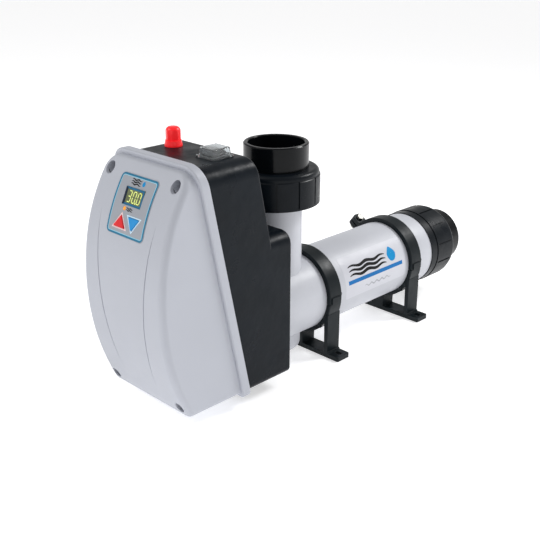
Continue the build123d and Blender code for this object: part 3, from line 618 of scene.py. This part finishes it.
TUBE_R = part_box("heater_tube")[1].x
STRAP_GAP = 14 * MM            # from the front strap to the label
LABEL_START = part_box("front_bracket_strap")[1].y + STRAP_GAP
NUT_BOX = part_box("inlet_union_nut")
AXIS_Z = (NUT_BOX[0].z + NUT_BOX[1].z) / 2
LABEL_LENGTH = 116 * MM
LABEL_SPAN = (-12, 52)         # degrees round the tube, up from the horizontal
LABEL_CORNER = 3 * MM
LABEL_LIFT = 0.02 * MM
LABEL_THICKNESS = 0.1 * MM
LABEL_PRINT = 0.05 * MM
BAR_ENDS = (5.5 * MM, 109.5 * MM)
BAR_LEVEL = 11.75              # degrees, like the bar's half-width and the two levels below
BAR_HALF = 2.95
LABEL_DROP = (16 * MM, 19 * MM)
LABEL_DROP_START = 92 * MM
LABEL_DROP_LEVEL = 32
LABEL_LINE_LEVEL = -1.5
LABEL_WAVES = {
    "start": 10, "end": 80, "top": 28.0, "height": 1.2, "turns": 2.5, "half": 2.0,
    "count": 90, "rows": 3, "pitch": 5.4, "across": 5,
}
LABEL_LINE = {"start": 35, "end": 85, "height": 1.3, "turns": 5.0, "half": 1.0, "count": 90}


def on_tube(a, b, height):
    """a runs along the tube from the label's start, b round it from the horizontal, both in metres."""
    angle = b / TUBE_R
    reach = TUBE_R + height
    return Vector((reach * math.cos(angle), LABEL_START + a, AXIS_Z + reach * math.sin(angle)))


def arc(degrees):
    return math.radians(degrees) * TUBE_R


def tube_label():
    low, high = [arc(degrees) for degrees in LABEL_SPAN]
    outline = rounded_box(LABEL_LENGTH, high - low, LABEL_CORNER)
    backing = Film(on_tube, LABEL_THICKNESS, LABEL_LIFT)
    backing.sheet(filled_rows(outline, (LABEL_LENGTH / 2, (low + high) / 2), 28), closed=True)
    backing.piece("tube_label", "label", "heater")
    above = LABEL_LIFT + LABEL_THICKNESS
    bar = Film(on_tube, LABEL_PRINT, above)
    bar.sheet(band(*BAR_ENDS, lambda s: arc(BAR_LEVEL), lambda s: arc(BAR_HALF), 40, 7))
    bar.piece("tube_label_bar", "bar", "heater")
    waves = Film(on_tube, LABEL_PRINT, above)
    draw_waves(waves, **LABEL_WAVES)
    waves.piece("tube_label_waves", "black", "heater")
    drop = Film(on_tube, LABEL_PRINT, above)
    place = (LABEL_DROP_START, arc(LABEL_DROP_LEVEL))
    drop.sheet(filled_rows(drop_outline(*LABEL_DROP), place, 10), closed=True)
    drop.piece("tube_label_drop", "sky", "heater")
    line = Film(on_tube, LABEL_PRINT, above)
    draw_waves(line, top=arc(LABEL_LINE_LEVEL) / MM, **LABEL_LINE)
    line.piece("tube_label_line", "grey", "heater")


# ---- stage ----

WHITE = (1.0, 1.0, 1.0, 1.0)
FLOOR_HALF = 14.0
FLOOR_GLOW = 0.5
FLOOR_DROP = 0.2 * MM          # keeps the floor clear of the feet
HORIZON_BAND = (math.radians(4), math.radians(16))
HORIZON_LIGHT = 1.0
SKY_LIGHT = 0.46
LIGHTS = (                     # name, place, side in metres and power in watts
    ("key", (-0.9, -1.5, 1.7), 1.0, 14),
    ("rim", (0.5, 1.0, 1.1), 0.45, 12),
)
CAMERA_AZIMUTH = math.radians(45.05)
CAMERA_ELEVATION = math.radians(21.7)
CAMERA_DISTANCE = 1.0
CAMERA_LENS = 59.4
CAMERA_CLIP = 10 * MM
CAMERA_AIM = Vector((0.019, -0.0825, 0.123))


def floor():
    data = bpy.data.meshes.new("floor")
    corners = [(sx * FLOOR_HALF, sy * FLOOR_HALF, 0) for sx, sy in ((-1, -1), (1, -1), (1, 1), (-1, 1))]
    data.from_pydata(corners, [], [(0, 1, 2, 3)])
    made = bpy.data.objects.new("floor", data)
    data.materials.append(plastic(
        "studio_floor", (244, 244, 245), 0.7, cloud=0.01, grain=0.0, Specular_IOR_Level=0.2,
        Emission_Color=WHITE, Emission_Strength=FLOOR_GLOW,
    ))
    bpy.context.scene.collection.objects.link(made)
    made.location.z = cad_box[0].z - FLOOR_DROP


def soft_light(name, place, side, power):
    """A square lamp that faces the middle of the part."""
    data = bpy.data.lights.new(name, "AREA")
    data.shape = "SQUARE"
    data.size = side
    data.energy = power
    made = bpy.data.objects.new(name, data)
    made.location = place
    made.rotation_mode = "QUATERNION"
    middle = (cad_box[0] + cad_box[1]) / 2
    made.rotation_quaternion = (middle - Vector(place)).to_track_quat("-Z", "Y")
    bpy.context.scene.collection.objects.link(made)


def studio():
    """A white horizon under a greyer sky, and the lamps."""
    world = bpy.data.worlds.new("studio")
    world.use_nodes = True
    nodes = world.node_tree.nodes
    links = world.node_tree.links
    sky = nodes["Background"]
    sky.inputs["Color"].default_value = WHITE
    direction = nodes.new("ShaderNodeSeparateXYZ")
    links.new(nodes.new("ShaderNodeTexCoord").outputs["Generated"], direction.inputs["Vector"])
    fade = nodes.new("ShaderNodeMapRange")
    fade.inputs["From Min"].default_value = math.sin(HORIZON_BAND[0])
    fade.inputs["From Max"].default_value = math.sin(HORIZON_BAND[1])
    fade.inputs["To Min"].default_value = HORIZON_LIGHT
    fade.inputs["To Max"].default_value = SKY_LIGHT
    links.new(direction.outputs["Z"], fade.inputs["Value"])
    links.new(fade.outputs["Result"], sky.inputs["Strength"])
    bpy.context.scene.world = world
    for name, place, side, power in LIGHTS:
        soft_light(name, place, side, power)


def camera():
    """The photo's viewing angle."""
    data = bpy.data.cameras.new("camera")
    data.lens = CAMERA_LENS
    data.clip_start = CAMERA_CLIP
    made = bpy.data.objects.new("camera", data)
    back = Vector((
        math.sin(CAMERA_AZIMUTH) * math.cos(CAMERA_ELEVATION),
        -math.cos(CAMERA_AZIMUTH) * math.cos(CAMERA_ELEVATION),
        math.sin(CAMERA_ELEVATION),
    ))
    made.location = CAMERA_AIM + back * CAMERA_DISTANCE
    made.rotation_mode = "QUATERNION"
    made.rotation_quaternion = (-back).to_track_quat("-Z", "Y")
    bpy.context.scene.collection.objects.link(made)
    bpy.context.scene.camera = made


dress_cad_nodes()
panel_border()
display_frame()
display_digits()
key_outlines()
panel_marks()
tube_label()
floor()
studio()
camera()
bpy.context.scene.view_settings.view_transform = "Standard"
